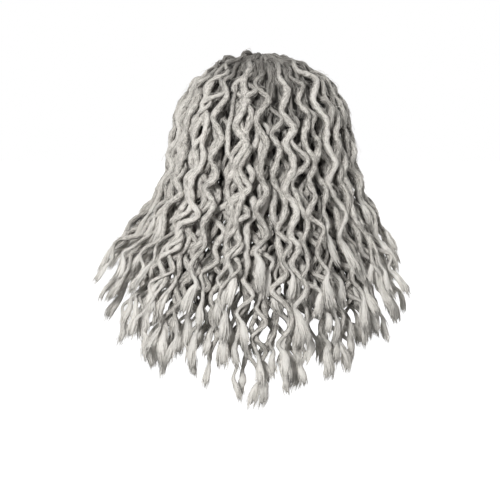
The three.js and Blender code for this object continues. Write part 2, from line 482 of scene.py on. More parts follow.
@dataclass
class Route:
    """Lays out one loc's middle line from its root to its tip.

    Spans are the lengths of slow swings along the loc, as multiples of stray_length.
    """

    lie: Lie
    samples: int = 300
    settle: float = math.radians(50)
    wave_grows: float = mm(60)
    bounce: float = mm(2.5)
    tassel_calm: float = 0.9
    calm_before: float = mm(4)
    calm_after: float = mm(20)
    root_length: float = mm(4)
    seat_gap: float = mm(0.3)
    bend: float = 0.6
    stray_side: float = mm(2.4)
    stray_out: float = mm(1.2)
    stray_length: float = mm(96)
    rise_span: float = 0.71
    uneven: float = 0.26
    uneven_spans: tuple[float, float] = (0.83, 2.3)
    hurry: float = 0.6
    hurry_span: float = 1.7
    looser: float = 0.25
    looser_from: float = 0.5
    wild_uneven: float = 0.3
    wild_hurry: float = 0.35
    wild_out: float = mm(2.6)
    lift_length: float = mm(40)
    knob_middle: float = mm(13)
    knob_length: float = mm(9)
    splay_from: float = 0.58
    splay_full: float = 0.88

    def __post_init__(self) -> None:
        """Finds the loc's row and the angle down where it leaves the head."""
        self.row = ROWS[self.lie.row_number]
        self.leave = max(math.pi / 2, self.lie.root_down)

    def angles(self) -> tuple[np.ndarray, np.ndarray]:
        """Returns the angles round and down along the loc."""
        lie = self.lie
        rise = FORM.head_rise + FORM.cap_wall
        fall = -(lie.tip_height + FORM.head_rise) / rise
        tip_down = self.leave + math.cos(self.leave) + fall
        down = np.linspace(lie.root_down, tip_down, self.samples)
        start = math.radians(self.row.down)
        settled = smoothstep(down, start, start + self.settle)
        span = self.row.root_span + (self.row.hang_span - self.row.root_span) * settled
        drift = lie.drift * smoothstep(down, lie.root_down, tip_down)
        return np.radians(span) * lie.across + drift, down

    def swing(self, distance: np.ndarray, span: float, start: float) -> np.ndarray:
        """Returns a slow swing between -1 and 1 along the loc."""
        return np.sin(TURN * distance / (span * self.stray_length) + start)

    def wave(self, distance: np.ndarray) -> tuple[np.ndarray, np.ndarray]:
        """Works out the loc's own waves and strays.

        Args:
            distance: Distances from the root.

        Returns:
            How far it lies to the side and how far out at each.
        """
        lie = self.lie
        own = np.random.default_rng(lie.seed).uniform(0, TURN, 6)
        length = distance[-1]
        rope_end = length - lie.tassel
        rings = round((rope_end - self.root_length) / lie.wave_length * PLAN.rings_per_wave)
        wave_length = (rope_end - self.root_length) * PLAN.rings_per_wave / rings
        phase = TURN * ((distance - self.root_length) / wave_length + lie.wave_start)
        hurry = self.hurry + self.wild_hurry * lie.wild
        phase = phase + hurry * self.swing(distance, self.hurry_span, own[0])
        uneven = self.uneven + self.wild_uneven * lie.wild
        size = 1 + uneven * self.swing(distance, self.uneven_spans[0], own[1])
        size = size + uneven * self.swing(distance, self.uneven_spans[1], own[2])
        looser = smoothstep(distance, self.looser_from * rope_end, rope_end)
        size = size * (1 + self.looser * looser)
        grown = smoothstep(distance, 0, self.wave_grows)
        calm = smoothstep(distance, rope_end - self.calm_before, rope_end + self.calm_after)
        calm = 1 - self.tassel_calm * calm
        zigzag = np.arcsin(self.bend * np.sin(phase)) / math.asin(self.bend)
        wander = self.stray_side * (1 + lie.wild) * self.swing(distance, 1, own[3])
        side = (lie.amplitude * size * zigzag * calm + wander) * grown
        bounce = self.bounce * self.row.bounce * (1 + np.cos(phase)) * calm
        curl = self.wild_out * lie.wild * size * np.sin(phase + own[4]) * calm
        rise = self.stray_out * self.swing(distance, self.rise_span, own[5])
        lift = lie.lift * smoothstep(distance, 0, self.lift_length)
        lift = lift + lie.knob * hump(distance, self.knob_middle, self.knob_length)
        splay = smoothstep(distance, self.splay_from * length, self.splay_full * length)
        return side, (bounce + curl + rise) * grown + lift + lie.splay * splay

    def line(self) -> Line:
        """Returns the middle line with the loc's own waves and strays."""
        turn, down = self.angles()
        number = self.lie.row_number
        plain = FORM.in_row(number, turn, down, self.leave)
        steps = np.linalg.norm(np.diff(plain, axis=0), axis=1)
        distance = np.concatenate([[0], np.cumsum(steps)])
        side, up = self.wave(distance)
        after = FORM.in_row(number, turn + FORM.probe, down, self.leave)
        before = FORM.in_row(number, turn - FORM.probe, down, self.leave)
        speed = np.linalg.norm(after - before, axis=1) / (2 * FORM.probe)
        seat = (FORM.free_gap - self.seat_gap) * (1 - smoothstep(distance, 0, 3 * self.root_length))
        normal = FORM.normal(turn, down, self.leave)
        point = FORM.in_row(number, turn + side / speed, down, self.leave)
        point = point + normal * (up - seat)[:, None]
        forward = unit(np.gradient(point, axis=0))
        out = unit(normal - forward * np.sum(normal * forward, axis=1, keepdims=True))
        steps = np.linalg.norm(np.diff(point, axis=0), axis=1)
        walked = np.concatenate([[0], np.cumsum(steps)])
        return Line(walked, point, forward, out, np.cross(forward, out))


def new_object(name: str, mesh: bpy.types.Mesh) -> bpy.types.Object:
    """Puts a mesh in the scene."""
    piece = bpy.data.objects.new(name, mesh)
    bpy.context.scene.collection.objects.link(piece)
    return piece


def joined(pieces: list[bpy.types.Object], name: str) -> bpy.types.Object:
    """Joins pieces into the first one and names it."""
    first = pieces[0]
    if len(pieces) > 1:
        with bpy.context.temp_override(active_object=first, selected_editable_objects=pieces):
            bpy.ops.object.join()
    first.name = name
    first.data.name = name
    return first


def set_tones(mesh: bpy.types.Mesh, tone: np.ndarray, tip: np.ndarray) -> None:
    """Keeps how light each point is and how far along its loc it lies.

    Args:
        mesh: The mesh to mark.
        tone: A share for each point, half being the hair's mean, lower where shade is painted.
        tip: A share for each point, 0 at the root and 1 in the tassel.
    """
    for name, values in (("tone", tone), ("tip", tip)):
        layer = mesh.attributes.new(name, "FLOAT", "POINT")
        layer.data.foreach_set("value", values.astype(np.float32))


def grid_mesh(name: str, along: int, about: int) -> tuple[bpy.types.Mesh, np.ndarray, np.ndarray]:
    """Makes a flat grid and tells the place of each of its points.

    Args:
        name: The mesh's name.
        along: How many faces it has one way.
        about: How many faces it has the other way.

    Returns:
        The mesh, and for each point its step along and its step about.
    """
    shape = bmesh.new()
    bmesh.ops.create_grid(shape, x_segments=along, y_segments=about, size=1)
    mesh = bpy.data.meshes.new(name)
    shape.to_mesh(mesh)
    shape.free()
    flat = np.empty(len(mesh.vertices) * 3, dtype=np.float32)
    mesh.vertices.foreach_get("co", flat)
    flat = flat.reshape(-1, 3)
    step_along = np.rint((flat[:, 0] + 1) / 2 * along).astype(int)
    step_about = np.rint((flat[:, 1] + 1) / 2 * about).astype(int)
    return mesh, step_along, step_about


def place_points(mesh: bpy.types.Mesh, points: np.ndarray) -> None:
    """Moves a mesh's points to their places."""
    mesh.vertices.foreach_set("co", points.astype(np.float32).ravel())
    mesh.update()


def set_fibre_map(mesh: bpy.types.Mesh, about: np.ndarray, along: np.ndarray) -> None:
    """Gives a mesh a map that runs round and along the fibres in metres."""
    layer = mesh.uv_layers.new(name="Fibre")
    corner = np.empty(len(mesh.loops), dtype=np.int32)
    mesh.loops.foreach_get("vertex_index", corner)
    both = np.stack([about[corner], along[corner]], axis=-1)
    layer.data.foreach_set("uv", both.astype(np.float32).ravel())


def closed_up(mesh: bpy.types.Mesh) -> None:
    """Merges a wrapped mesh's seam and poles, turns its faces outwards and smooths them."""
    shape = bmesh.new()
    shape.from_mesh(mesh)
    bmesh.ops.remove_doubles(shape, verts=shape.verts, dist=SEAM)
    bmesh.ops.recalc_face_normals(shape, faces=shape.faces)
    shape.to_mesh(mesh)
    shape.free()
    mesh.shade_smooth()


class FibreMaker:
    """Makes meshes of many thin fibres from one small template repeated in an array."""

    def __init__(self) -> None:
        """Starts with no template made."""
        self.made: dict[tuple[int, int, int], bpy.types.Mesh] = {}

    def template(self, rings: int, corners: int) -> bpy.types.Mesh:
        """Makes one closed fibre that stands on its end, a unit a ring, with a point on top."""
        shape = bmesh.new()
        bmesh.ops.create_circle(shape, cap_ends=True, segments=corners, radius=1)
        faces = list(shape.faces)
        for ring in range(rings):
            grown = bmesh.ops.extrude_face_region(shape, geom=faces)
            verts = [item for item in grown["geom"] if isinstance(item, bmesh.types.BMVert)]
            if ring > 0:
                bmesh.ops.delete(shape, geom=faces, context="FACES_ONLY")
            faces = [item for item in grown["geom"] if isinstance(item, bmesh.types.BMFace)]
            bmesh.ops.translate(shape, verts=verts, vec=(0, 0, 1))
        bmesh.ops.pointmerge(shape, verts=verts, merge_co=(0, 0, rings))
        bmesh.ops.recalc_face_normals(shape, faces=shape.faces)
        mesh = bpy.data.meshes.new("fibre_template")
        shape.to_mesh(mesh)
        shape.free()
        return mesh

    def array(self, count: int, rings: int, corners: int) -> bpy.types.Mesh:
        """Repeats the template in a row, a few units apart.

        Args:
            count: How many fibres there are.
            rings: How many lengths a fibre has.
            corners: How many corners its section has.

        Returns:
            A mesh of its own that holds every fibre.
        """
        if (count, rings, corners) not in self.made:
            one = new_object("fibre_array", self.template(rings, corners))
            repeat = one.modifiers.new("repeat", "ARRAY")
            repeat.count = count
            repeat.use_relative_offset = False
            repeat.use_constant_offset = True
            repeat.constant_offset_displace = (ARRAY_STEP, 0, 0)
            seen = one.evaluated_get(bpy.context.evaluated_depsgraph_get())
            self.made[count, rings, corners] = bpy.data.meshes.new_from_object(seen)
            bpy.data.objects.remove(one)
        return self.made[count, rings, corners].copy()


@dataclass
class Strands:
    """Paths of many fibres: points[fibre, ring], thickness[fibre, ring] and what marks them."""

    points: np.ndarray
    radius: np.ndarray
    tone: np.ndarray
    tip: np.ndarray
    map_about: np.ndarray
    map_along: np.ndarray
    corners: int = 3

    def build(self, name: str, maker: FibreMaker) -> bpy.types.Object:
        """Makes the fibres as one mesh of thin closed prisms.

        Args:
            name: The new object's name.
            maker: Where the repeated template comes from.

        Returns:
            The object.
        """
        count, places = self.points.shape[:2]
        mesh = maker.array(count, places - 1, self.corners)
        flat = np.empty(len(mesh.vertices) * 3, dtype=np.float32)
        mesh.vertices.foreach_get("co", flat)
        flat = flat.reshape(-1, 3)
        fibre = np.clip(np.rint(flat[:, 0] / ARRAY_STEP), 0, count - 1).astype(int)
        ring = np.rint(flat[:, 2]).astype(int)
        corner = np.arctan2(flat[:, 1], flat[:, 0] - ARRAY_STEP * fibre)
        forward = unit(np.gradient(self.points, axis=1) + 1e-9)
        first = unit(np.cross(forward, np.array(ASKEW)))
        second = np.cross(forward, first)
        reach = self.radius[fibre, ring] * (ring < places - 1)
        across = np.cos(corner)[:, None] * first[fibre, ring]
        across = across + np.sin(corner)[:, None] * second[fibre, ring]
        place_points(mesh, self.points[fibre, ring] + across * reach[:, None])
        set_tones(mesh, self.tone[fibre], self.tip[fibre, ring])
        set_fibre_map(mesh, self.map_about[fibre], self.map_along[fibre, ring])
        mesh.shade_smooth()
        return new_object(name, mesh)


@dataclass
class FeltedLoc:
    """One loc: its felted rope, its tassel of loose fibres and the fuzz on its surface."""

    line: Line
    seed: int
    # painted shade from the loc's row, taken off its tone
    shade: float = 0
    diameter: float = mm(9.8)
    sides: int = 9
    ring_gap: float = mm(3.3)
    tassel_fibres: int = 110
    fuzz: int = 70
    fuller: float = 1.0
    locks: int = 16
    tassel_length: float = mm(58)

    def __post_init__(self) -> None:
        """Draws what sets this loc apart."""
        rng = np.random.default_rng(VARIETY.seed_start + self.seed)
        self.rng = rng
        # The row's painted shade darkens the whole loc: rope, tassel locks, hairs and fuzz.
        self.tone = float(np.clip(rng.normal(*VARIETY.tone), *VARIETY.tone_limits)) - self.shade
        self.diameter = self.diameter * rng.uniform(*VARIETY.diameter)
        self.rope_end = self.line.length - self.tassel_length
        self.waves = rng.uniform(0, TURN, 6)
        self.brush = rng.uniform(0, 1)
        self.fuller = self.fuller * rng.uniform(*VARIETY.fuller)
        place = np.arange(self.locks) + rng.uniform(*VARIETY.lock_place, self.locks)
        self.lock_angle = TURN * place / self.locks
        self.lock_twist = rng.normal(*VARIETY.lock_twist, self.locks)
        self.lock_reach = rng.uniform(*VARIETY.lock_reach, self.locks)
        self.lock_end = rng.uniform(*VARIETY.lock_end, self.locks)
        self.lock_tone = rng.normal(*VARIETY.lock_tone, self.locks)

    def envelope(self, distance: np.ndarray) -> tuple[np.ndarray, np.ndarray]:
        """Returns the half width and half depth that the rope and the tassel fill."""
        knob = 1 + ROPE.knob * hump(distance, ROPE.knob_middle, ROPE.knob_length)
        lumps = 1
        for (girth, length), start in zip(ROPE.lumps, self.waves):
            lumps = lumps + girth * np.sin(TURN * distance / length + start)
        near = np.clip(distance / ROPE.rounding, 0, 1)
        rounded = np.sqrt(near * (2 - near))
        fresh = ROPE.root_girth + ROPE.root_gain * smoothstep(distance, *ROPE.gains)
        thin = smoothstep(distance, ROPE.thins_from * self.rope_end, self.rope_end)
        thinner = 1 - ROPE.thinner * thin
        rope = self.diameter / 2 * knob * lumps * rounded * fresh * thinner
        share = (distance - self.rope_end) / self.tassel_length
        girth = profile(np.clip(share, 0, 1), TASSEL.sections) * self.fuller
        flare = smoothstep(share, TASSEL.flare_from, 1)
        girth = girth * (1 + TASSEL.flare * self.brush * flare)
        into = smoothstep(distance - self.rope_end, *ROPE.joint)
        width = rope * (1 - into) + into * girth * TASSEL.width / 2
        depth = rope * (1 - into) + into * girth * TASSEL.depth / 2
        return width, depth

    def core(self, places: np.ndarray) -> np.ndarray:
        """Returns how much of the envelope the closed body fills, less and less in the tassel."""
        share = (places - self.rope_end) / self.tassel_length
        core = 1 - TASSEL.core_slimmer * smoothstep(share, 0, TASSEL.core_slim_by)
        return core * np.sqrt(np.clip((TASSEL.core_end - share) / TASSEL.core_rounding, 0, 1))

    def ridges(self, angle: np.ndarray, distance: np.ndarray) -> np.ndarray:
        """Returns the girth's share at each place for the rope's twisted ridges and creases."""
        girth, length = ROPE.ridges
        ridges = 1 + girth * np.cos(2 * (angle - TURN * distance / length) + self.waves[3])
        girth, length = ROPE.creases
        return ridges + girth * np.cos(3 * angle + TURN * distance / length + self.waves[4])

    def rope_tones(
        self, angle: np.ndarray, distance: np.ndarray, core: np.ndarray
    ) -> tuple[np.ndarray, np.ndarray]:
        """Works out how light the rope is, with painted shade on its flanks and on the side towards the
        head, and darker at its root.

        Args:
            angle: Angles round the rope, a quarter turn being outwards.
            distance: Distances from the root.
            core: How much of the envelope the body fills.

        Returns:
            The tone, and the place between root and tip.
        """
        past = distance - self.rope_end
        # Painted shade: the flanks and the side towards the head are darkened, less and less into the
        # tassel.
        under = (1 - smoothstep(np.sin(angle), *ROPE.under)) * np.minimum(core, 1)
        under = under * (1 - smoothstep(past, -ROPE.under_fade, ROPE.under_fade))
        root = 1 - smoothstep(distance, 0, ROPE.root)
        tone = self.tone + ROPE.lighter - ROPE.under_shade * under
        return tone, smoothstep(past, *ROPE.tip) - root

    def rope(self) -> bpy.types.Object:
        """Makes the closed body of the loc, lumpy and a little twisted, with a map along it."""
        core_end = self.rope_end + TASSEL.core_end * self.tassel_length
        count = max(ROPE.fewest_rings, round(core_end / self.ring_gap))
        places = np.linspace(0, core_end, count + 1)
        places[1] = ROPE.first_ring
        mesh, ring, corner = grid_mesh("rope", count, self.sides)
        line = self.line.at(places)
        width, depth = self.envelope(places)
        core = self.core(places)[ring]
        angle = TURN * corner / self.sides
        distance = places[ring]
        rough = self.rng.normal(0, ROPE.rough, (count + 1, self.sides))
        girth = (self.ridges(angle, distance) + rough[ring, corner % self.sides]) * core
        across = line.side[ring] * (np.cos(angle) * width[ring] * girth)[:, None]
        across = across + line.out[ring] * (np.sin(angle) * depth[ring] * girth)[:, None]
        place_points(mesh, line.point[ring] + across)
        set_tones(mesh, *self.rope_tones(angle, distance, core))
        start = self.rng.uniform(*VARIETY.map_place, 2)
        about = corner / self.sides * math.pi * self.diameter
        set_fibre_map(mesh, about + start[0], distance + start[1])
        closed_up(mesh)
        return new_object("rope", mesh)

    def in_tassel(
        self, lock: np.ndarray, along: np.ndarray, stray: np.ndarray
    ) -> tuple[np.ndarray, np.ndarray]:
        """Finds points of the tassel's locks.

        Args:
            lock: The lock of each strand.
            along: Shares of the tassel's length, a row for each strand.
            stray: How far to the side and out of its lock each point lies, as shares of the
                tassel's half width and half depth.

        Returns:
            The points, and the half width of the tassel at each.
        """
        distance = (self.rope_end + self.tassel_length * along).ravel()
        line = self.line.at(distance)
        width, depth = self.envelope(np.minimum(distance, self.line.length))
        angle = self.lock_angle[lock][:, None] + self.lock_twist[lock][:, None] * along
        reach = self.lock_reach[lock][:, None] * (TASSEL.reach + TASSEL.reach_gain * along)
        side = (np.cos(angle) * reach + stray[0]).ravel() * width
        out = (np.sin(angle) * reach + stray[1]).ravel() * depth
        points = line.point + line.side * side[:, None] + line.out * out[:, None]
        return points.reshape(*along.shape, 3), width.reshape(along.shape)

    def tassel_locks(self, maker: FibreMaker) -> bpy.types.Object:
        """Makes the thin locks of the tassel, which lie over its core and end raggedly."""
        rng = self.rng
        share = np.linspace(0, 1, LOCK.rings + 1)[None, :]
        start = rng.uniform(*LOCK.start, self.locks)[:, None]
        along = start + (self.lock_end[:, None] - start) * share
        wander = rng.normal(0, LOCK.wander, (2, *along.shape)) * share
        points, width = self.in_tassel(np.arange(self.locks), along, wander)
        thick = rng.uniform(*LOCK.thickness, self.locks)[:, None]
        radius = width * profile(share, LOCK.girth) * thick
        tone = np.clip(self.tone + self.lock_tone, 0, 1)
        paler = rng.uniform(*LOCK.paleness, self.locks)[:, None]
        tip = smoothstep(along, *LOCK.pales) * paler
        strands = Strands(
            points, radius, tone, tip, rng.uniform(*VARIETY.map_place, self.locks),
            self.rope_end + self.tassel_length * along, corners=4,
        )
        return strands.build("locks", maker)

    def tassel_hairs(self, maker: FibreMaker) -> bpy.types.Object:
        """Makes the fine fibres over the locks, some of which stray from them."""
        rng = self.rng
        count = self.tassel_fibres
        share = np.linspace(0, 1, HAIR.rings + 1)[None, :]
        lock = rng.integers(0, self.locks, count)
        start = rng.uniform(*HAIR.start, count)
        end = start + rng.uniform(*HAIR.length, count)
        end = np.minimum(end, self.lock_end[lock] + HAIR.beyond)
        along = start[:, None] + (end - start)[:, None] * share
        loose = rng.uniform(0, 1, count)[:, None] > HAIR.bound
        stray = rng.normal(0, 1, (2, count, 1)) * np.where(loose, *HAIR.stray)
        spread = rng.normal(0, 1, (2, count, 1)) * share**2 * np.where(loose, *HAIR.spread)
        stray = stray + spread + rng.normal(0, HAIR.jitter, (2, *along.shape))
        points, _ = self.in_tassel(lock, along, stray)
        thick = np.where(loose, *HAIR.thickness) * rng.uniform(*HAIR.uneven, (count, 1))
        radius = thick * profile(share, HAIR.girth)
        tone = self.tone + HAIR.lighter + self.lock_tone[lock] + rng.normal(*HAIR.tone, count)
        tip = np.ones_like(along) * rng.uniform(*HAIR.paleness, (count, 1))
        strands = Strands(
            points, radius, np.clip(tone, *HAIR.tone_limits), tip,
            rng.uniform(*VARIETY.map_place, count), self.rope_end + self.tassel_length * along,
        )
        return strands.build("hairs", maker)

    def loose_fuzz(self, maker: FibreMaker) -> bpy.types.Object:
        """Makes the fine hairs that lift off the rope."""
        rng = self.rng
        count, places = self.fuzz, len(FUZZ.girth)
        share = np.linspace(0, 1, places)[None, :]
        start = rng.uniform(FUZZ.first, self.rope_end, count)
        length = rng.uniform(*FUZZ.length, count)
        distance = start[:, None] + length[:, None] * share
        line = self.line.at(distance.ravel())
        width, depth = self.envelope(distance.ravel())
        angle = rng.uniform(0, TURN, count)[:, None]
        angle = (angle + rng.normal(0, FUZZ.twist, count)[:, None] * share).ravel()
        stand = np.minimum(rng.exponential(FUZZ.stand, count), FUZZ.stand_most)[:, None]
        stand = (stand * np.sin(share * FUZZ.arc) + FUZZ.stand_least).ravel()
        points = line.point + line.side * (np.cos(angle) * (width + stand))[:, None]
        points = points + line.out * (np.sin(angle) * (depth + stand))[:, None]
        radius = rng.uniform(*FUZZ.thickness, count)[:, None] * np.array([FUZZ.girth])
        tone = np.clip(self.tone + rng.normal(*FUZZ.tone, count), 0, 1)
        strands = Strands(
            points.reshape(count, places, 3), radius, tone, np.full((count, places), FUZZ.tip),
            rng.uniform(*VARIETY.map_place, count), distance,
        )
        return strands.build("fuzz", maker)

    def build(self, name: str, maker: FibreMaker) -> bpy.types.Object:
        """Makes the whole loc as one piece."""
        parts = [self.rope(), self.tassel_locks(maker), self.tassel_hairs(maker)]
        return joined([*parts, self.loose_fuzz(maker)], name)


def linear(colour: str) -> tuple[float, float, float, float]:
    """Turns an sRGB colour such as #DAD7CF into linear red, green, blue and alpha."""
    parts = [int(colour[place:place + 2], 16) / 255 for place in (1, 3, 5)]
    low = [part / 12.92 if part <= 0.04045 else ((part + 0.055) / 1.055) ** 2.4 for part in parts]
    return (*low, 1.0)


def add_node(
    tree: bpy.types.NodeTree, kind: str, settings: dict[str, object], links: dict[str, object]
) -> bpy.types.Node:
    """Adds a node with its settings and links.

    Args:
        tree: The material's node tree.
        kind: The node's type.
        settings: Properties, or inputs by name or number, and their values.
        links: Inputs by name or number, and the outputs that feed them.

    Returns:
        The node.
    """
    node = tree.nodes.new(kind)
    for key, value in settings.items():
        if isinstance(key, str) and hasattr(node, key):
            setattr(node, key, value)
        else:
            node.inputs[key].default_value = value
    for key, output in links.items():
        tree.links.new(output, node.inputs[key])
    return node


@dataclass(frozen=True)
class Pattern:
    """A noise along the fibres: its size across and along them, its detail and roughness."""

    across: float
    along: float
    detail: float
    roughness: float

    def add(self, tree: bpy.types.NodeTree, fibre: bpy.types.Node) -> bpy.types.Node:
        """Adds the noise to a material, read from its fibre map."""
        scaled = add_node(
            tree, "ShaderNodeMapping",
            {"Scale": (1 / self.across, 1 / self.along, 1)}, {0: fibre.outputs[0]},
        )
        return add_node(
            tree, "ShaderNodeTexNoise",
            {"Scale": 1.0, "Detail": self.detail, "Roughness": self.roughness},
            {"Vector": scaled.outputs[0]},
        )


@dataclass(frozen=True)
class FeltedFibre:
    """Crimped synthetic wool fibre, felted into rope: matte, streaky and soft at its edges."""

    name: str = "felted_modacrylic_fibre"
    light: str = "#E2DED7"
    middle: str = "#B5B1AA"
    dark: str = "#5A5753"
    root: str = "#5E5B57"
    tip: str = "#EAE7E1"
    streak: Pattern = Pattern(mm(1.5), mm(13), 3.0, 0.6)
    fine: Pattern = Pattern(mm(0.6), 12 * mm(0.6), 2.0, 0.7)
    grain: Pattern = Pattern(mm(1.8), 3 * mm(1.8), 4.0, 0.75)
    mottle: float = mm(15)
    streak_weight: float = 1.1
    grain_weight: float = 2.7
    mottle_weight: float = 0.9
    blend_low: float = 2.26
    blend_high: float = 3.38
    middle_stop: float = 0.42
    light_stop: float = 0.8
    root_share: float = 0.85
    tip_share: float = 0.8
    fine_height: float = 0.6
    bump: float = mm(1.3)
    roughness: float = 0.85
    specular: float = 0.28
    sheen: float = 0.04
    sheen_roughness: float = 0.5
    sheen_tint: str = "#E9E6DF"

    def make(self) -> bpy.types.Material:
        """Builds the material: streaks along the fibre map, tones from loc to loc with the painted shade
        that the tone attribute carries, soft bump.
        """
        material = bpy.data.materials.new(self.name)
        material.use_nodes = True
        tree = material.node_tree
        shader = tree.nodes["Principled BSDF"]
        fibre = add_node(tree, "ShaderNodeUVMap", {"uv_map": "Fibre"}, {})
        streaks = self.streak.add(tree, fibre)
        fine = self.fine.add(tree, fibre)
        grain = self.grain.add(tree, fibre)
        place = add_node(tree, "ShaderNodeTexCoord", {}, {})
        mottle = add_node(
            tree, "ShaderNodeTexNoise", {"Scale": 1 / self.mottle, "Detail": 4.0},
            {"Vector": place.outputs["Object"]},
        )
        tone = add_node(tree, "ShaderNodeAttribute", {"attribute_name": "tone"}, {})
        tip = add_node(tree, "ShaderNodeAttribute", {"attribute_name": "tip"}, {})
        blend = tone.outputs["Fac"]
        layers = (streaks, self.streak_weight), (grain, self.grain_weight)
        for noise, weight in (*layers, (mottle, self.mottle_weight)):
            added = add_node(
                tree, "ShaderNodeMath", {"operation": "MULTIPLY_ADD", 1: weight},
                {0: noise.outputs[0], 2: blend},
            )
            blend = added.outputs[0]
        ramp = add_node(tree, "ShaderNodeValToRGB", {}, {})
        spread = add_node(
            tree, "ShaderNodeMapRange", {"From Min": self.blend_low, "From Max": self.blend_high},
            {"Value": blend},
        )
        tree.links.new(spread.outputs[0], ramp.inputs[0])
        stops = ramp.color_ramp.elements
        stops[0].position, stops[0].color = 0.0, linear(self.dark)
        stops[1].position, stops[1].color = self.light_stop, linear(self.light)
        middle = stops.new(self.middle_stop)
        middle.color = linear(self.middle)
        colour = ramp.outputs[0]
        ends = (-1.0, self.root_share, self.root), (1.0, self.tip_share, self.tip)
        for end, most, paint in ends:
            share = add_node(
                tree, "ShaderNodeMapRange", {"From Min": 0.0, "From Max": end, "To Max": most},
                {"Value": tip.outputs["Fac"]},
            )
            mixed = add_node(
                tree, "ShaderNodeMix", {"data_type": "RGBA", "blend_type": "MIX", 7: linear(paint)},
                {0: share.outputs[0], 6: colour},
            )
            colour = mixed.outputs[2]
        tree.links.new(colour, shader.inputs["Base Color"])
        height = add_node(
            tree, "ShaderNodeMath", {"operation": "MULTIPLY_ADD", 1: self.fine_height},
            {0: fine.outputs[0], 2: grain.outputs[0]},
        )
        bump = add_node(
            tree, "ShaderNodeBump", {"Strength": 1.0, "Distance": self.bump},
            {"Height": height.outputs[0]},
        )
        tree.links.new(bump.outputs[0], shader.inputs["Normal"])
        shader.inputs["Roughness"].default_value = self.roughness
        shader.inputs["Specular IOR Level"].default_value = self.specular
        shader.inputs["Sheen Weight"].default_value = self.sheen
        shader.inputs["Sheen Roughness"].default_value = self.sheen_roughness
        shader.inputs["Sheen Tint"].default_value = linear(self.sheen_tint)
        return material


@dataclass(frozen=True)
class CapKnit:
    """Stretch net of the cap: a fine dull mesh of rounded yarn with small open cells."""

    name: str = "cap_stretch_net"
    yarn: str = "#8F8B85"
    cell: str = "#4C4946"
    pitch: float = mm(2.8)
    uneven: float = 0.75
    yarn_edge: tuple[float, float] = (0.06, 0.3)
    wear: float = mm(24)
    wear_gain: float = 0.5
    wear_least: float = -0.2
    bump: float = mm(0.6)
    bump_strength: float = 0.8
    roughness: float = 0.9
    specular: float = 0.2
    sheen: float = 0.1

    def make(self) -> bpy.types.Material:
        """Builds the material: cells that read Object coordinates, with a bump for the yarn."""
        material = bpy.data.materials.new(self.name)
        material.use_nodes = True
        tree = material.node_tree
        shader = tree.nodes["Principled BSDF"]
        place = add_node(tree, "ShaderNodeTexCoord", {}, {})
        cells = add_node(
            tree, "ShaderNodeTexVoronoi",
            {"feature": "DISTANCE_TO_EDGE", "Scale": 1 / self.pitch, "Randomness": self.uneven},
            {"Vector": place.outputs["Object"]},
        )
        low, high = self.yarn_edge
        mesh = add_node(
            tree, "ShaderNodeMapRange",
            {"From Min": low, "From Max": high, "To Min": 1, "To Max": 0},
            {"Value": cells.outputs["Distance"]},
        )
        worn = add_node(
            tree, "ShaderNodeTexNoise", {"Scale": 1 / self.wear, "Detail": 3.0},
            {"Vector": place.outputs["Object"]},
        )
        share = add_node(
            tree, "ShaderNodeMath",
            {"operation": "MULTIPLY_ADD", 1: self.wear_gain, 2: self.wear_least},
            {0: worn.outputs[0]},
        )
        share = add_node(
            tree, "ShaderNodeMath", {"operation": "ADD", "use_clamp": True},
            {0: mesh.outputs[0], 1: share.outputs[0]},
        )
        colour = add_node(
            tree, "ShaderNodeMix",
            {"data_type": "RGBA", 6: linear(self.cell), 7: linear(self.yarn)},
            {0: share.outputs[0]},
        )
        tree.links.new(colour.outputs[2], shader.inputs["Base Color"])
        bump = add_node(
            tree, "ShaderNodeBump", {"Strength": self.bump_strength, "Distance": self.bump},
            {"Height": mesh.outputs[0]},
        )
        tree.links.new(bump.outputs[0], shader.inputs["Normal"])
        shader.inputs["Roughness"].default_value = self.roughness
        shader.inputs["Specular IOR Level"].default_value = self.specular
        shader.inputs["Sheen Weight"].default_value = self.sheen
        return material


@dataclass(frozen=True)
class MainLocs:
    """The locs that stand for the solids' own, one piece each."""

    maker: FibreMaker
    material: bpy.types.Material

    def build(self) -> None:
        """Builds and dresses every loc in place of its solid."""
        for row_number, row in enumerate(ROWS):
            for index in range(row.count):
                lie = PLAN.main(row_number, index)
                node = f"{row.name}_loc_{index + 1:02d}"
                loc = FeltedLoc(Route(lie).line(), lie.seed, row.shade)
                piece = loc.build(f"{node}_felted", self.maker)
                piece.data.materials.append(self.material)
                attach(piece, "root")
                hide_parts(node)
            LOG.info("row %s: %d locs", row.name, row.count)


@dataclass(frozen=True)
class Placed:
    """A loc with a place of its own: degrees round and down, and millimetres."""

    turn: float
    down: float
    tip: float
    splay: float = 0
    knob: float = 0
    row: int = 4


KNOBBED = (
    Placed(52, 11, -365, knob=8),
    Placed(18, 15, -390, knob=4),
    Placed(74, 24, -320, knob=11),
    Placed(66, 33, -345, knob=7),
    Placed(80, 40, -300, knob=7),
    Placed(104, 22, -330, knob=6),
    Placed(142, 15, -300, knob=5),
    Placed(-70, 16, -350, knob=5),
    Placed(-112, 18, -310, knob=6),
)

ON_SHOULDER = (
    Placed(56, 58, -344, splay=34, row=3),
    Placed(69, 60, -338, splay=38, row=3),
    Placed(76, 54, -347, splay=46, row=3),
    Placed(84, 62, -336, splay=40, row=3),
    Placed(-68, 54, -345, splay=16, row=3),
    Placed(-80, 60, -352, splay=18, row=3),
)


@dataclass(frozen=True)
class Between:
    """How the locs between a row's own locs lie.

    Angles down from the row's level are in degrees. Shortest is how far the shortest one falls
    short, as a share of the row's scatter.
    """

    row_number: int
    each_gap: int
    steps_down: tuple[float, ...]
    lift_low: float
    lift_high: float
    shortest: float = 1.25
    bare: tuple[float, float] = (0, 0)
    placed: tuple[Placed, ...] = ()


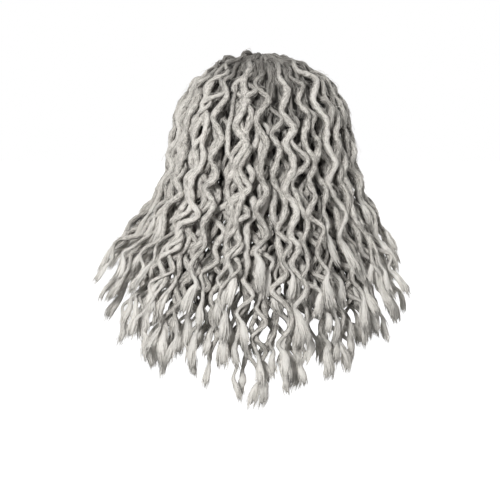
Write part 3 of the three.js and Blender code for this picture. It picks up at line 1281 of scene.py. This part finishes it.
@dataclass(frozen=True)
class FillerLocs:
    """The locs between the main ones, one joined piece a row."""

    maker: FibreMaker
    material: bpy.types.Material
    fuzz: tuple[int, ...] = (24, 24, 36, 60, 80)
    first_seed: int = 300
    seeds: tuple[int, int] = (5000, 90000)
    place_scatter: tuple[float, float] = (-0.25, 0.25)
    bare_step: float = 18
    down_scatter: tuple[float, float] = (-2, 2)
    least_uneven: float = 0.04
    most_reach: float = -0.1
    amplitude: tuple[float, float] = (0.6, 1.25)
    wave_length: tuple[float, float] = (0.76, 1.12)
    wild: tuple[float, float] = (0.35, 1)
    drift: tuple[float, float] = (0, 3)
    tassel: tuple[float, float] = (38, 56)
    splay_turn: tuple[float, float] = (45, 85)
    left_splay: float = mm(24)
    right_splay: float = mm(6)
    placed_amplitude: tuple[float, float] = (0.8, 1.1)
    placed_wave_length: tuple[float, float] = (0.8, 1.05)
    placed_lift: tuple[float, float] = (mm(-5), mm(5))
    placed_wild: tuple[float, float] = (0.2, 0.6)
    diameter: tuple[float, float] = (7.6, 10.6)
    fuller: tuple[float, float] = (0.66, 1.0)
    plans: tuple[Between, ...] = (
        Between(0, 6, (7, 13), mm(-4), mm(4)),
        Between(1, 4, (6, 13), mm(-5), mm(1)),
        Between(2, 3, (5, 12), mm(-6), mm(0)),
        Between(3, 3, (5, 12), mm(-7), mm(0), bare=(-44, -4)),
        Between(
            4, 1, (14, 23, 18), mm(-5), mm(1), shortest=1.5, bare=(-44, -4),
            placed=KNOBBED + ON_SHOULDER,
        ),
    )

    def lie(self, plan: Between, gap: int, place: int, rng: np.random.Generator) -> Lie:
        """Draws how one of these locs lies.

        Args:
            plan: What the row's own between locs share.
            gap: Which gap of the row it is in.
            place: Which loc of the gap it is.
            rng: Where the differences are drawn.

        Returns:
            The loc's lie.
        """
        row = ROWS[plan.row_number]
        share = (place + 1 + rng.uniform(*self.place_scatter)) / (plan.each_gap + 1)
        across = 2 * (gap + share) / (row.count - 1) - 1
        down = row.down + plan.steps_down[(gap + place) % len(plan.steps_down)]
        if plan.bare[0] < across * row.root_span < plan.bare[1]:
            down = down + self.bare_step
        root_down = math.radians(down + rng.uniform(*self.down_scatter))
        uneven = max(self.least_uneven, rng.uniform(self.most_reach, plan.shortest))
        return Lie(
            row_number=plan.row_number,
            across=across,
            root_down=root_down,
            tip_height=PLAN.tip(row, across, uneven),
            amplitude=PLAN.wave_amplitude * rng.uniform(*self.amplitude),
            wave_length=PLAN.wave_length * rng.uniform(*self.wave_length),
            wave_start=rng.uniform(0, 1),
            lift=rng.uniform(plan.lift_low, plan.lift_high),
            seed=int(rng.integers(*self.seeds)),
            wild=rng.uniform(*self.wild),
            drift=math.radians(rng.normal(*self.drift)),
            splay=self.splay(across * row.hang_span, rng),
            tassel=mm(rng.uniform(*self.tassel)),
        )

    def splay(self, turn: float, rng: np.random.Generator) -> float:
        """Draws how far a loc's end lies out where it would rest on a shoulder."""
        side = smoothstep(np.array(abs(turn)), *self.splay_turn)
        most = self.left_splay if turn > 0 else self.right_splay
        return float(side * rng.uniform(0, most))

    def row_lies(self, plan: Between) -> list[Lie]:
        """Returns the lies of a row's between locs."""
        rng = np.random.default_rng(self.first_seed + plan.row_number)
        gaps = range(ROWS[plan.row_number].count - 1)
        lies = [self.lie(plan, gap, place, rng) for gap in gaps for place in range(plan.each_gap)]
        return lies + [self.placed_lie(placed, rng) for placed in plan.placed]

    def placed_lie(self, placed: Placed, rng: np.random.Generator) -> Lie:
        """Draws the rest of how a loc lies whose root and end are given.

        Args:
            placed: Where it starts and ends.
            rng: Where the differences are drawn.

        Returns:
            The loc's lie.
        """
        return Lie(
            row_number=placed.row,
            across=placed.turn / ROWS[placed.row].root_span,
            root_down=math.radians(placed.down),
            tip_height=mm(placed.tip),
            amplitude=PLAN.wave_amplitude * rng.uniform(*self.placed_amplitude),
            wave_length=PLAN.wave_length * rng.uniform(*self.placed_wave_length),
            wave_start=rng.uniform(0, 1),
            lift=rng.uniform(*self.placed_lift),
            seed=int(rng.integers(*self.seeds)),
            wild=rng.uniform(*self.placed_wild),
            splay=mm(placed.splay),
            knob=mm(placed.knob),
            tassel=mm(rng.uniform(*self.tassel)),
        )

    def build(self) -> None:
        """Builds and dresses each row's between locs."""
        for plan in self.plans:
            row = ROWS[plan.row_number]
            locs = []
            for lie in self.row_lies(plan):
                rng = np.random.default_rng(lie.seed)
                loc = FeltedLoc(
                    Route(lie).line(), lie.seed, row.shade, diameter=mm(rng.uniform(*self.diameter)),
                    sides=7, ring_gap=mm(4.2), tassel_fibres=52, locks=11,
                    fuzz=self.fuzz[plan.row_number],
                    fuller=rng.uniform(*self.fuller), tassel_length=lie.tassel,
                )
                locs.append(loc.build("between", self.maker))
            count = len(locs)
            piece = joined(locs, f"{row.name}_locs_between")
            piece.data.materials.append(self.material)
            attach(piece, "root")
            LOG.info("%s: %d locs, %d faces", piece.name, count, len(piece.data.polygons))


@dataclass(frozen=True)
class FibreBase:
    """The felted fibre that covers the cap between the roots: a thin shell and combed hairs."""

    maker: FibreMaker
    material: bpy.types.Material
    gap: float = mm(0.5)
    wall: float = mm(1.6)
    grid: tuple[int, int] = (56, 120)
    edge_share: float = 0.985
    shell_seed: int = 17
    rough: float = mm(0.35)
    lump: float = mm(0.5)
    lump_fade: tuple[float, float] = (0.0, 0.35)
    pole: float = 0.02
    shell_tone: float = 0.4
    shell_tip: float = -0.8
    solid_share: float = 0.7
    hairs: int = 3800
    hair_seed: int = 29
    hair_rings: int = 4
    hair_length: tuple[float, float] = (mm(14), mm(38))
    hair_stand: tuple[float, float] = (mm(0.4), mm(5.5))
    hair_sway: float = mm(5)
    hair_curl: float = mm(0.8)
    hair_thickness: tuple[float, float] = (mm(0.18), mm(0.44))
    hair_girth: tuple[float, ...] = (0.6, 1, 1, 0.8, 0.2)
    hair_tone: tuple[float, float] = (0.6, 0.4)
    hair_tone_limits: tuple[float, float] = (-0.2, 1.2)
    hair_tip: float = -0.45
    parting_share: float = 0.62
    pad: float = mm(11.5)
    pad_fade: tuple[float, float] = (math.radians(64), math.radians(80))
    pad_left: tuple[float, float] = (math.radians(20), math.radians(48))
    pad_right: tuple[float, float] = (math.radians(46), math.radians(70))

    def lift(self, turn: np.ndarray, down: np.ndarray) -> np.ndarray:
        """Returns how far the base's surface stands off the cap, most under the parting."""
        layers = np.minimum(FORM.layers_under(len(ROWS) - 1, turn, down), 1)
        inside = 1 - smoothstep(turn, *self.pad_left)
        inside = inside * (1 - smoothstep(-turn, *self.pad_right))
        inside = inside * (1 - smoothstep(down, *self.pad_fade))
        return self.gap + self.wall + self.pad * layers * inside

    def shell(self) -> bpy.types.Object:
        """Makes the closed lumpy shell over the cap."""
        along, about = self.grid
        mesh, step, corner = grid_mesh("fibre_base", along, about)
        turn = (corner / about - 0.5) * TURN
        down = FORM.edge(turn) * self.edge_share * step / along
        point = FORM.skin(turn, down, math.pi)
        rng = np.random.default_rng(self.shell_seed)
        rough = rng.normal(0, self.rough, (along + 1, about))
        rough[0] = 0
        lump = rough[step, corner % about]
        bumps = np.sin(turn * 23 + down * 9) * np.sin(down * 31)
        lump = lump + self.lump * bumps * np.sin(down)
        lump = lump * smoothstep(down, *self.lump_fade)
        normal = FORM.normal(turn, np.maximum(down, self.pole), math.pi)
        lift = self.lift(turn, down) + lump
        place_points(mesh, point + normal * lift[:, None])
        points = len(step)
        set_tones(mesh, np.full(points, self.shell_tone), np.full(points, self.shell_tip))
        set_fibre_map(mesh, turn * mm(90), down * mm(105))
        shape = bmesh.new()
        shape.from_mesh(mesh)
        bmesh.ops.remove_doubles(shape, verts=shape.verts, dist=mm(0.02))
        bmesh.ops.recalc_face_normals(shape, faces=shape.faces)
        wall = self.wall * self.solid_share
        bmesh.ops.solidify(shape, geom=list(shape.faces), thickness=wall)
        shape.to_mesh(mesh)
        shape.free()
        mesh.shade_smooth()
        return new_object("fibre_base", mesh)

    def combed(self) -> bpy.types.Object:
        """Makes the hairs that lie over the shell and follow the locs down the head."""
        rng = np.random.default_rng(self.hair_seed)
        count, rings = self.hairs, self.hair_rings
        parting = rng.uniform(0, 1, count) < self.parting_share
        turn = np.where(parting, rng.normal(-0.1, 0.7, count), rng.uniform(-math.pi, math.pi, count))
        down = FORM.edge(turn) * rng.uniform(0.02, 0.8, count) ** 0.8
        down = np.where(parting, rng.uniform(0.06, 1.25, count), down)
        length = rng.uniform(*self.hair_length, count) / FORM.head_rise
        length = np.clip(FORM.edge(turn) * 0.97 - down, 0.04, length)
        share = np.linspace(0, 1, rings + 1)
        down_at = down[:, None] + length[:, None] * share
        sway = rng.normal(0, self.hair_sway, count)[:, None] * share**1.5
        bend = share * rng.uniform(2, 6, count)[:, None] + turn[:, None]
        curl = self.hair_curl * np.sin(bend)
        speed = FORM.head_length / 2 * np.sin(np.maximum(down_at, 0.08))
        turn_at = turn[:, None] + (sway + curl) / speed
        stand = rng.uniform(*self.hair_stand, count)[:, None]
        stand = stand * np.sin(math.pi * (0.12 + 0.8 * share))
        turn_flat, down_flat = turn_at.ravel(), down_at.ravel()
        point = FORM.skin(turn_flat, down_flat, math.pi)
        normal = FORM.normal(turn_flat, np.maximum(down_flat, self.pole), math.pi)
        lift = self.lift(turn_flat, down_flat) + stand.ravel()
        point = point + normal * lift[:, None]
        thick = rng.uniform(*self.hair_thickness, count)[:, None]
        radius = thick * np.array([self.hair_girth])
        tone = np.clip(rng.normal(*self.hair_tone, count), *self.hair_tone_limits)
        tip = np.full((count, rings + 1), self.hair_tip)
        distance = down_at * FORM.head_rise
        strands = Strands(
            point.reshape(count, rings + 1, 3), radius, tone, tip,
            rng.uniform(0, 3, count), distance,
        )
        return strands.build("combed", self.maker)

    def build(self) -> None:
        """Builds and dresses the base over the cap."""
        piece = joined([self.shell(), self.combed()], "crown_fibre_base")
        piece.data.materials.append(self.material)
        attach(piece, "root")
        LOG.info("%s: %d hairs", piece.name, self.hairs)


@dataclass(frozen=True)
class Camera:
    """The photograph's view: level, from behind, a little above."""

    image_pixels: int = 500
    metres_a_pixel: float = mm(1.42)
    centre_column: float = 262
    crown_row: float = 50
    crown_height: float = mm(13.5)
    aim_back: float = 0.03
    sensor: float = 36
    elevation: float = math.radians(5)
    distance: float = 2.6

    def build(self) -> None:
        """Places the camera so that the hair falls where the photograph has it."""
        middle = self.image_pixels / 2
        across = (self.centre_column - middle) * self.metres_a_pixel
        height = self.crown_height - (middle - self.crown_row) * self.metres_a_pixel
        target = Vector((across, self.aim_back, height))
        away = Vector((0, math.cos(self.elevation), math.sin(self.elevation)))
        data = bpy.data.cameras.new("camera")
        camera = new_object("camera", data)
        camera.location = target + away * self.distance
        camera.rotation_euler = (-away).to_track_quat("-Z", "Y").to_euler()
        data.sensor_width = self.sensor
        data.lens = self.distance * self.sensor / (self.image_pixels * self.metres_a_pixel * 1000) * 1000
        bpy.context.scene.camera = camera


@dataclass(frozen=True)
class Lamp:
    """A soft square lamp: its place, the length of its sides in metres and its watts."""

    name: str
    place: tuple[float, float, float]
    size: float
    power: float

    def hang(self, aim: tuple[float, float, float]) -> None:
        """Hangs the lamp so that it faces a point."""
        data = bpy.data.lights.new(self.name, "AREA")
        data.size = self.size
        data.energy = self.power
        lamp = new_object(self.name, data)
        lamp.location = self.place
        turned = (Vector(aim) - Vector(self.place)).to_track_quat("-Z", "Y")
        lamp.rotation_euler = turned.to_euler()
        lamp.visible_camera = False


@dataclass(frozen=True)
class Studio:
    """A pale floor in a white room, with soft lamps all round."""

    floor_height: float = -2.5
    floor_half: float = 60.0
    room_light: float = 0.27
    white: str = "#FFFFFF"
    aim: tuple[float, float, float] = (0, 0, -0.2)
    lamps: tuple[Lamp, ...] = (
        Lamp("key", (0.9, 2.7, 0.8), 0.5, 84),
        Lamp("fill", (-2.2, 1.9, 0.3), 1.4, 11),
        Lamp("front_left", (-1.5, -2.5, 0.4), 1.2, 74),
        Lamp("front_right", (2.0, -2.2, 0.3), 1.2, 34),
    )

    def floor(self) -> None:
        """Makes the floor, of matt white paint as bright as the room behind it."""
        shape = bmesh.new()
        bmesh.ops.create_grid(shape, x_segments=1, y_segments=1, size=self.floor_half)
        bmesh.ops.translate(shape, verts=shape.verts, vec=(0, 0, self.floor_height))
        mesh = bpy.data.meshes.new("floor")
        shape.to_mesh(mesh)
        shape.free()
        material = bpy.data.materials.new("matt_white_paint")
        material.use_nodes = True
        shader = material.node_tree.nodes["Principled BSDF"]
        shader.inputs["Base Color"].default_value = linear(self.white)
        shader.inputs["Roughness"].default_value = 0.95
        shader.inputs["Emission Color"].default_value = linear(self.white)
        shader.inputs["Emission Strength"].default_value = 1.0
        mesh.materials.append(material)
        floor = new_object("floor", mesh)
        floor.visible_diffuse = False
        floor.visible_glossy = False

    def room(self) -> None:
        """Makes the room white to look at, though it gives little light."""
        world = bpy.data.worlds.new("white_room")
        world.use_nodes = True
        tree = world.node_tree
        seen = add_node(tree, "ShaderNodeLightPath", {}, {})
        strength = add_node(
            tree, "ShaderNodeMapRange", {"To Min": self.room_light, "To Max": 1.0},
            {"Value": seen.outputs["Is Camera Ray"]},
        )
        back = tree.nodes["Background"]
        back.inputs[0].default_value = linear(self.white)
        tree.links.new(strength.outputs[0], back.inputs[1])
        bpy.context.scene.world = world

    def build(self) -> None:
        """Builds the floor, the room and the lamps."""
        self.floor()
        self.room()
        for lamp in self.lamps:
            lamp.hang(self.aim)
        bpy.context.scene.view_settings.view_transform = "Standard"


def dress_cap(material: bpy.types.Material) -> None:
    """Gives the cap's own solid its knit."""
    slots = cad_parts["wig_cap"].data.materials
    slots.clear()
    slots.append(material)


def main() -> None:
    """Builds the wig's pieces in order."""
    logging.basicConfig(level=logging.INFO, format="%(name)s: %(message)s")
    Camera().build()
    Studio().build()
    maker = FibreMaker()
    fibre = FeltedFibre().make()
    dress_cap(CapKnit().make())
    FibreBase(maker, fibre).build()
    MainLocs(maker, fibre).build()
    FillerLocs(maker, fibre).build()


if __name__ == "__main__":
    main()
